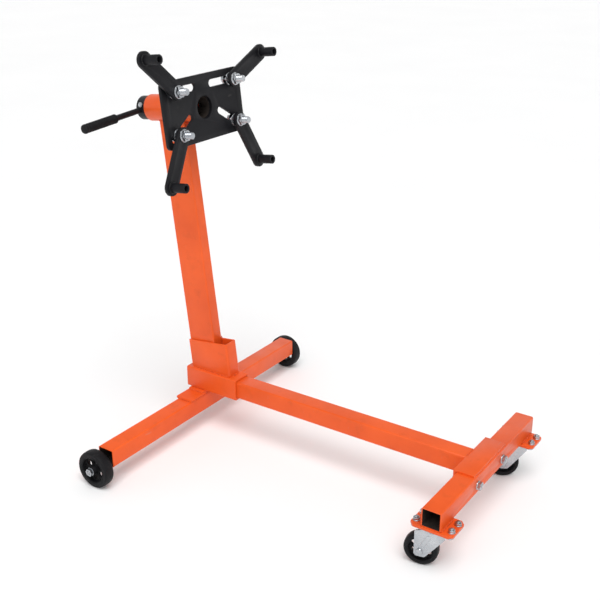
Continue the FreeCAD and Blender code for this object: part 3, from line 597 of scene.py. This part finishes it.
def arm_fasteners(arm):
    """The bolt through the head plate's slot and the nuts on either side of the arm."""
    bolt_node, nuts_node = f"arm_bolt_{arm}", f"arm_nuts_{arm}"
    pivot = to_head(joint_place(f"arm_{arm}_swing"))
    plate = to_head(middle("head_plate"))
    behind_plate = from_head(plate.x - PLATE_HALF - FIT_GAP, pivot.y, pivot.z)
    before_plate = from_head(plate.x + PLATE_HALF + FIT_GAP, pivot.y, pivot.z)
    before_arm = from_head(pivot.x + PLATE_HALF + FIT_GAP, pivot.y, pivot.z)
    piece = bolt(f"{bolt_node}_threaded", [behind_plate], HEAD_AXIS, bolt_node,
                 radius=0.0079, length=0.051, flats=0.0238, head=0.009, pitch=0.002,
                 flange=0.0149)
    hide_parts(bolt_node)
    piece = nut(f"{nuts_node}_detailed", [before_plate, before_arm], HEAD_AXIS, bolt_node,
                flats=0.0238, height=0.009, bore=0.0072, flange=0.0149)
    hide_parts(nuts_node)


def joint_fasteners():
    """The two bolts that hold the front cross tube to its saddle."""
    bolts_low, bolts_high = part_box("joint_bolts")
    nuts_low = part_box("joint_nuts")[0]
    half = (bolts_high.z - bolts_low.z) / 2
    z = bolts_low.z + half
    across = (bolts_low.y + half, bolts_high.y - half)
    piece = bolt("joint_bolts_threaded", [Vector((bolts_low.x + 0.0064, y, z)) for y in across],
                 X_AXIS, "frame", radius=0.0049, length=0.0618, flats=0.0168, head=0.0063,
                 pitch=0.0015, flange=0.0104)
    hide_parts("joint_bolts")
    piece = nut("joint_nuts_detailed", [Vector((nuts_low.x, y, z)) for y in across],
                X_AXIS, "frame", flats=0.0168, height=0.009, bore=0.0044, flange=0.0104)
    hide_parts("joint_nuts")


def caster_nuts():
    """The four nuts above each caster's plate."""
    nut_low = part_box("caster_nuts")[0]
    spots = []
    for side, sign in SIDES:
        centre = middle(f"caster_plate_{side}")
        for dx in (-0.040, 0.040):
            for dy in (-0.015, 0.015):
                spots.append(Vector((centre.x + dx, centre.y + dy, nut_low.z)))
    piece = nut("caster_nuts_detailed", spots, Z_AXIS, "frame", flats=0.0128, height=0.007,
                bore=0.0036, flange=0.0079)
    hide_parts("caster_nuts")


def axle_nuts():
    """The nut outside each rear wheel; the left one stands for the node."""
    height = 0.006
    low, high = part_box("axle_nuts")
    centre = (low + high) / 2
    for side, sign in SIDES:
        edge = facing(low.y, high.y, sign)
        piece = nut(f"axle_nut_{side}", [Vector((centre.x, edge - sign * height, centre.z))],
                    Y_AXIS * sign, "frame", flats=0.0168, height=height, bore=0.0047)
        if sign > 0:
            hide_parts("axle_nuts")


def clamp_fasteners():
    """The cross bolt that clamps the centre beam in its sleeve."""
    centre = middle("sleeve_clamp_nut")
    nut_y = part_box("sleeve_clamp_nut")[0].y
    bolt_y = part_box("sleeve_clamp_bolt")[1].y
    piece = nut("sleeve_clamp_nut_detailed", [Vector((centre.x, nut_y, centre.z))], Y_AXIS,
                "frame", flats=0.0168, height=0.008, bore=0.0046)
    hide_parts("sleeve_clamp_nut")
    piece = bolt("sleeve_clamp_bolt_threaded",
                 [Vector((centre.x, bolt_y - 0.0064, centre.z))], -Y_AXIS, "frame",
                 radius=0.0049, length=0.0173, flats=0.0158, head=0.0063, pitch=0.0015)
    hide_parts("sleeve_clamp_bolt")


def handle_screw():
    """The screw that holds the handle rod in the shaft tube."""
    centre = to_head(middle("handle_screw"))
    outward = Vector((0, centre.y, centre.z)).normalized()
    seat = Vector((centre.x, 0, 0)) + outward * 0.0286
    piece = bolt("handle_screw_threaded", [HEAD @ seat], HEAD.to_3x3() @ -outward, "head",
                 radius=0.0029, length=0.003, flats=0.0098, head=0.0038, pitch=0.001,
                 flange=0.0058)
    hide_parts("handle_screw")


for arm in ARMS:
    arm_fasteners(arm)
joint_fasteners()
caster_nuts()
axle_nuts()
clamp_fasteners()
handle_screw()


# ------------------------------------------------------------------ handle grip and pin

def handle_grip():
    """The ribbed rubber grip, turned about the handle rod's axis."""
    tilt = math.radians(3.5)
    axis = HEAD.to_3x3() @ Vector((0, -math.cos(tilt), -math.sin(tilt)))
    root = from_head(-0.085, 0, 0)
    valley, crest = 0.0103, 0.0109
    # A collar, then the ribs, then the rounded end. Each pair is a radius and a place.
    profile = [(0.00705, 0.114), (0.0096, 0.114), (0.0110, 0.1152), (0.0110, 0.1180),
               (valley, 0.1192), (valley, 0.1210)]
    position = 0.1210
    while position < 0.205:
        profile += [(valley, position), (crest, position + 0.0007),
                    (crest, position + 0.0023), (valley, position + 0.0030)]
        position += 0.0042
    profile += [(0.0105, 0.2085), (0.0110, 0.2100), (0.0110, 0.2135), (0.0102, 0.2160),
                (0.0075, 0.2176), (0.0040, 0.21795), (0.0006, 0.218)]
    bm = bmesh.new()
    lathe(bm, profile, 56)
    piece = finish_mesh("handle_grip_ribbed", bm, "grip", "head", smooth_angle=50,
                        matrix=frame_along(root, axis))
    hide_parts("handle_grip")


def lock_pin():
    """The indexing pin: a grooved shank and a knurled knob."""
    matrix = frame_along(from_head(0.056, 0, 0), Y_AXIS)
    bm = bmesh.new()
    lathe(bm, [(0.0041, 0.029), (0.0049, 0.0298), (0.0049, 0.0560), (0.0044, 0.0566),
               (0.0044, 0.0574), (0.0049, 0.0580)], 48)
    piece = finish_mesh("lock_pin_shank", bm, "steel", "lock_pin", matrix=matrix)
    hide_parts("lock_pin")
    bm = bmesh.new()
    points_per_ridge = 4
    steps = 28 * points_per_ridge
    groove = 0.0006
    rows = []
    for radius, z, knurled in ((0.0040, 0.0578, 0), (0.0108, 0.0580, 0), (0.0118, 0.0590, 0),
                               (0.0119, 0.0596, 1), (0.0119, 0.0664, 1), (0.0117, 0.0672, 0),
                               (0.0092, 0.0696, 0), (0.0040, 0.0699, 0)):
        rows.append(ring_points(
            [radius - (groove * knurled if k % points_per_ridge in (2, 3) else 0.0)
             for k in range(steps)], z))
    closed_ends(bm, rows)
    finish_mesh("lock_pin_knob", bm, "steel", "lock_pin", matrix=matrix)


handle_grip()
lock_pin()


# ------------------------------------------------------------------ wheel details

def wheel_details(body, joint, radius, width, hub_half, bore, ring_in, ring_out,
                  rib_in, rib_out):
    """Parting line, rim rings, ribs between the windows and a steel hub bush."""
    matrix = frame_along(JOINTS[joint]["pos_m"], JOINTS[joint]["axis"])
    web_face = 0.003
    rib_half = 0.0012       # half a rib's thickness
    rib_steps = 8
    bm = bmesh.new()
    crest = radius - 0.00005
    foot = radius - 0.0008
    lathe(bm, [(foot, -0.0006), (crest, -0.0002), (crest, 0.0002), (foot, 0.0006)], 128,
          close=True)
    for face in (-1, 1):
        for ring, edge in ((ring_in, web_face), (ring_out, width / 2 - 0.0002)):
            lathe(bm, [(ring - 0.0010, face * (edge - 0.0012)),
                       (ring - 0.0007, face * (edge + 0.0006)),
                       (ring, face * (edge + 0.0009)),
                       (ring + 0.0007, face * (edge + 0.0006)),
                       (ring + 0.0010, face * (edge - 0.0012))], 96, close=True)
    for k in range(6):
        angle = math.pi / 3 * k + math.pi / 6
        out = Vector((math.cos(angle), math.sin(angle), 0))
        across = Vector((-math.sin(angle), math.cos(angle), 0))
        rows = []
        for step in range(rib_steps + 1):
            share = step / rib_steps
            reach = rib_in + (rib_out - rib_in) * share
            height = 0.0062 - 0.0022 * math.sin(math.pi * share)
            flat = rib_half - 0.0005
            rows.append([out * reach + across * a + Vector((0, 0, b)) for a, b in (
                (-rib_half, -height + 0.0006), (-flat, -height),
                (flat, -height), (rib_half, -height + 0.0006),
                (rib_half, height - 0.0006), (flat, height),
                (-flat, height), (-rib_half, height - 0.0006))])
        closed_ends(bm, rows)
    finish_mesh(f"{body}_ribs", bm, "wheel_rubber", body, matrix=matrix)
    bm = bmesh.new()
    inner_end, outer_end = hub_half - 0.0030, hub_half - 0.0001
    inside = bore + 0.00006
    for face in (-1, 1):
        lathe(bm, [(inside, face * inner_end), (bore + 0.0026, face * inner_end),
                   (bore + 0.0026, face * (outer_end - 0.0004)),
                   (bore + 0.0022, face * outer_end), (bore + 0.0005, face * outer_end),
                   (inside, face * (outer_end - 0.0004))], 64, close=True)
    finish_mesh(f"{body}_bush", bm, "zinc", body, matrix=matrix)


for side, sign in SIDES:
    wheel_details(f"rear_wheel_{side}", f"rear_wheel_{side}_spin",
                  radius=0.046, width=0.028, hub_half=0.017, bore=0.00508,
                  ring_in=0.0125, ring_out=0.0345, rib_in=0.0112, rib_out=0.0312)
    wheel_details(f"caster_wheel_{side}", f"caster_{side}_roll",
                  radius=0.0375, width=0.024, hub_half=0.0145, bore=0.00508,
                  ring_in=0.0121, ring_out=0.0300, rib_in=0.0112, rib_out=0.0266)


# ------------------------------------------------------------------ caster details

def caster_details(side):
    """Pressed ribs on the fork's legs and the rolled ring round the swivel's balls."""
    body = f"caster_fork_{side}"
    pivot = joint_place(f"caster_{side}_swivel")
    wheel = joint_place(f"caster_{side}_roll")
    axle = Vector(JOINTS[f"caster_{side}_roll"]["axis"])
    trail = Vector((wheel.x - pivot.x, wheel.y - pivot.y, 0)).normalized()
    floor_point = Vector((pivot.x, pivot.y, 0))
    top = floor_point + trail * 0.009 + Z_AXIS * 0.081
    bottom = floor_point + trail * 0.0255 + Z_AXIS * 0.0505
    half_width = 0.0052
    leg_face = 0.0174       # from the fork's middle
    rib_steps, arc_steps = 24, 10
    bm = bmesh.new()
    for face in (-1, 1):
        across = axle.cross(bottom - top).normalized()
        rows = []
        for step in range(rib_steps + 1):
            share = -math.cos(math.pi * step / rib_steps)
            swell = math.sqrt(max(1 - abs(share) ** 5, 0.0004))
            spot = top.lerp(bottom, (share + 1) / 2)
            edge = across * (half_width * swell)
            back = axle * face * (leg_face - 0.0004)
            row = [spot + across * (half_width * swell * math.cos(math.pi * k / arc_steps))
                   + axle * face * (leg_face + 0.0021 * swell
                                    * math.sin(math.pi * k / arc_steps))
                   for k in range(arc_steps + 1)]
            rows.append(row + [spot - edge + back, spot + edge + back])
        closed_ends(bm, rows)
    finish_mesh(f"{body}_ribs", bm, "zinc", body)
    bm = bmesh.new()
    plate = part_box(f"caster_plate_{side}")[0].z
    lathe(bm, [(0.0198, plate + 0.0004), (0.0198, plate - 0.0027), (0.0202, plate - 0.0031),
               (0.0210, plate - 0.0030), (0.0214, plate - 0.0022), (0.0222, plate - 0.0004),
               (0.0232, plate + 0.0004)], 72, close=True)
    finish_mesh(f"caster_race_{side}", bm, "zinc", "frame",
                matrix=Matrix.Translation((pivot.x, pivot.y, 0)))


for side, sign in SIDES:
    caster_details(side)


# ------------------------------------------------------------------ welds

def base_welds():
    """Saddle plate, pad and sleeve on the rear cross tube, from the bottom up."""
    low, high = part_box("saddle_plate")
    for name, sign in (("back", -1), ("front", 1)):
        x = facing(low.x, high.x, sign) - sign * 0.0006
        weld(f"saddle_weld_{name}", [(x, low.y + 0.004, low.z + 0.0004),
                                     (x, high.y - 0.004, low.z + 0.0004)], 0.0016, "frame")
    for side, sign in SIDES:
        y = facing(low.y, high.y, sign)
        weld(f"saddle_weld_{side}", [(low.x + 0.004, y, low.z + 0.0006),
                                     (high.x - 0.004, y, low.z + 0.0006)], 0.0022, "frame")
    low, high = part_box("sleeve_pad")
    for side, sign in SIDES:
        y = facing(low.y, high.y, sign)
        weld(f"pad_weld_{side}", [(low.x + 0.003, y, low.z + 0.0006),
                                  (high.x - 0.003, y, low.z + 0.0006)], 0.0022, "frame")
    sleeve_low, sleeve_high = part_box("beam_sleeve")
    for side, sign in SIDES:
        y = facing(sleeve_low.y, sleeve_high.y, sign) - sign * 0.0028
        weld(f"sleeve_weld_{side}", [(low.x + 0.003, y, high.z + 0.0008),
                                     (high.x - 0.003, y, high.z + 0.0008)], 0.0024, "frame")


def foot_edge(node, sign, level):
    """Furthest X of a node's vertices at or below the level."""
    xs = [v.co.x for v in NODES[node].data.vertices if v.co.z < level + 0.001]
    return facing(min(xs), max(xs), sign)


def post_foot_welds():
    """The socket's and the post's feet on top of the sleeve, and the post in the socket."""
    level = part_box("beam_sleeve")[1].z
    z = level + 0.0008
    low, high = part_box("post_socket")
    half = (high.y - low.y) / 2
    front = foot_edge("post_socket", 1, level)
    back = foot_edge("post_socket", -1, level)
    for side, y in (("right", -half), ("left", half)):
        weld(f"socket_weld_{side}", [(back + 0.002, y, z), (front - 0.008, y, z)], 0.0024,
             "frame")
    weld("socket_weld_front", [(front + 0.0003, -half + 0.007, z),
                               (front + 0.0003, half - 0.007, z)], 0.0024, "frame")
    low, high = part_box("post")
    half = (high.y - low.y) / 2
    back = foot_edge("post", -1, level)
    weld("post_weld_back", [(back, -half + 0.003, z), (back, half - 0.003, z)], 0.0022,
         "frame")
    for side, sign in SIDES:
        weld(f"post_socket_weld_{side}", [from_head(0.0395, sign * 0.0162, -0.585),
                                          from_head(0.0395, sign * 0.0162, -0.650)],
             0.0016, "frame")


def post_top_weld():
    """The post is coped to the bearing tube, so its weld follows the tube."""
    outline = []
    for first, last, count in (((0.040, -0.013), (0.040, 0.013), 8),
                               ((0.037, 0.016), (-0.037, 0.016), 12),
                               ((-0.040, 0.013), (-0.040, -0.013), 8),
                               ((-0.037, -0.016), (0.037, -0.016), 12)):
        for k in range(count + 1):
            share = k / count
            x = first[0] + (last[0] - first[0]) * share
            y = first[1] + (last[1] - first[1]) * share
            outline.append(from_head(
                x, y, -math.sqrt(BEARING_TUBE_OUTER ** 2 - y * y) - 0.0003))
    weld("post_top_weld", outline, 0.0023, "frame", closed=True)


def lock_boss_weld():
    """A ring round the indexing pin's boss, on the bearing tube."""
    steps = 36
    ring = []
    for x, z, _ in ring_points([0.0102] * steps, 0):
        y = math.sqrt(0.0319 ** 2 - z * z)
        ring.append(from_head(0.056 + x, y + 0.0002, z))
    weld("lock_boss_weld", ring, 0.0016, "frame", closed=True)


def head_welds():
    """Rings round the shaft behind the head plate and round each arm's tube."""
    plate_back = to_head(middle("head_plate")).x - PLATE_HALF
    ring = frame_along(from_head(plate_back - 0.0008, 0, 0), HEAD_AXIS)
    weld("shaft_plate_weld", circle_points(ring, 0.0292, 72), 0.0026, "head",
         "black_paint", closed=True)
    for arm in ARMS:
        tube = to_head(middle(f"arm_tube_{arm}"))
        pivot = to_head(joint_place(f"arm_{arm}_swing"))
        ring = frame_along(from_head(pivot.x + 0.0046, tube.y, tube.z), HEAD_AXIS)
        weld(f"arm_tube_weld_{arm}", circle_points(ring, 0.0117, 40), 0.0017, f"arm_{arm}",
             "black_paint", closed=True)


def front_welds():
    """Caster mounts under the front cross tube and the bracket on the centre beam."""
    tube_low, tube_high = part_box("front_cross_tube")
    for side, sign in SIDES:
        low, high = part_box(f"caster_mount_{side}")
        z = high.z + 0.0010
        if sign > 0:
            start, stop = low.y + 0.004, min(high.y, tube_high.y) - 0.003
        else:
            start, stop = high.y - 0.004, max(low.y, tube_low.y) + 0.003
        for name, x in (("back", tube_low.x - 0.0004), ("front", tube_high.x + 0.0004)):
            weld(f"mount_weld_{name}_{side}", [(x, start, z), (x, stop, z)], 0.0023, "frame")
    bracket_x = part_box("front_saddle")[0].x
    low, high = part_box("centre_beam")
    for side, sign in SIDES:
        x, y = bracket_x - 0.0004, sign * (high.y + 0.0003)
        weld(f"bracket_weld_{side}", [(x, y, low.z + 0.004), (x, y, high.z - 0.005)],
             0.0023, "frame")
    x, z = bracket_x - 0.0003, high.z - 0.0004
    weld("bracket_weld_top", [(x, -high.y + 0.004, z), (x, high.y - 0.004, z)], 0.0018,
         "frame")


def axle_welds():
    """Beads on both sides of each rear axle, under the rear cross tube."""
    tube_low, tube_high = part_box("rear_cross_tube")
    z = tube_low.z - 0.0012
    for side, sign in SIDES:
        low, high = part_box(f"rear_axle_{side}")
        inner = low.y + 0.003 if sign > 0 else high.y - 0.003
        outer = sign * (tube_high.y - 0.004)
        for name, dx in (("front", 0.0042), ("back", -0.0042)):
            x = (low.x + high.x) / 2 + dx
            weld(f"axle_weld_{name}_{side}", [(x, inner, z), (x, outer, z)], 0.0021, "frame")


base_welds()
post_foot_welds()
post_top_weld()
lock_boss_weld()
head_welds()
front_welds()
axle_welds()


# ------------------------------------------------------------------ floor, light, camera

FLOOR_HALF = 30
SKY_STRENGTH = (("From Min", 0.10), ("From Max", 0.85),     # the sine of the elevation
                ("To Min", 0.95), ("To Max", 0.42))         # brightest at the horizon

shader = Shader("floor_paper")
tone = shader.mix(shader.ramp(shader.noise(1.6, 3), 0.3, 0.7), (0.96, 0.96, 0.96, 1),
                  (0.94, 0.94, 0.942, 1))
floor_material = shader.set(
    Base_Color=tone, Roughness=shader.ramp(shader.noise(9, 3), 0.3, 0.7, 0.62, 0.75),
    Normal=shader.bump(shader.noise(240, 2), 0.03, 0.0005))
mesh = bpy.data.meshes.new("floor")
mesh.from_pydata([(-FLOOR_HALF, -FLOOR_HALF, 0), (FLOOR_HALF, -FLOOR_HALF, 0),
                  (FLOOR_HALF, FLOOR_HALF, 0), (-FLOOR_HALF, FLOOR_HALF, 0)], [],
                 [(0, 1, 2, 3)])
mesh.materials.append(floor_material)
floor = bpy.data.objects.new("floor", mesh)
bpy.context.scene.collection.objects.link(floor)

world = bpy.data.worlds.new("studio")
world.use_nodes = True
sky_nodes, sky_links = world.node_tree.nodes, world.node_tree.links
heading = sky_nodes.new("ShaderNodeTexCoord")
parts = sky_nodes.new("ShaderNodeSeparateXYZ")
strength = sky_nodes.new("ShaderNodeMapRange")
strength.interpolation_type = "SMOOTHSTEP"
for key, value in SKY_STRENGTH:
    strength.inputs[key].default_value = value
sky_links.new(heading.outputs["Generated"], parts.inputs["Vector"])
sky_links.new(parts.outputs["Z"], strength.inputs["Value"])
sky_links.new(strength.outputs["Result"], sky_nodes["Background"].inputs["Strength"])
sky_nodes["Background"].inputs["Color"].default_value = (1, 1, 1, 1)
bpy.context.scene.world = world
bpy.context.scene.view_settings.view_transform = "Standard"


def aim_lamp(name, light, place, goal):
    """A lamp at a place, turned to face the goal."""
    lamp = bpy.data.objects.new(name, light)
    lamp.location = place
    lamp.rotation_euler = (Vector(goal) - Vector(place)).to_track_quat("-Z", "Y").to_euler()
    bpy.context.scene.collection.objects.link(lamp)


sky = bpy.data.lights.new("sky", "SUN")
sky.energy = 1.8
sky.angle = math.radians(40)
aim_lamp("sky", sky, place=(0.9, -0.9, 3.0), goal=(0, 0, 0.3))
key_light = bpy.data.lights.new("key", "AREA")
key_light.shape = "DISK"
key_light.size = 1.2
key_light.energy = 9
aim_lamp("key", key_light, place=(0.4, -2.2, 2.2), goal=(-0.1, 0, 0.4))

# The camera that was solved from the photo's straight edges, 600 pixels wide.
AZIMUTH, ELEVATION, ROLL = math.radians(34.46), math.radians(22.50), math.radians(-0.16)
TARGET = Vector((-0.0428, 0.0, 0.4173))
DISTANCE = 2.331
PHOTO_WIDTH = 600

to_camera = Vector((math.sin(AZIMUTH) * math.cos(ELEVATION),
                    -math.cos(AZIMUTH) * math.cos(ELEVATION), math.sin(ELEVATION)))
camera_data = bpy.data.cameras.new("camera")
camera_data.sensor_width = 36.0
camera_data.lens = 59.496
camera_data.shift_x = 2.5 / PHOTO_WIDTH
camera_data.shift_y = -1.1 / PHOTO_WIDTH
camera = bpy.data.objects.new("camera", camera_data)
camera.location = TARGET + to_camera * DISTANCE
aim = (-to_camera).to_track_quat("-Z", "Y").to_matrix()
camera.rotation_euler = (aim @ Matrix.Rotation(ROLL, 3, "Z")).to_euler()
bpy.context.scene.collection.objects.link(camera)
bpy.context.scene.camera = camera
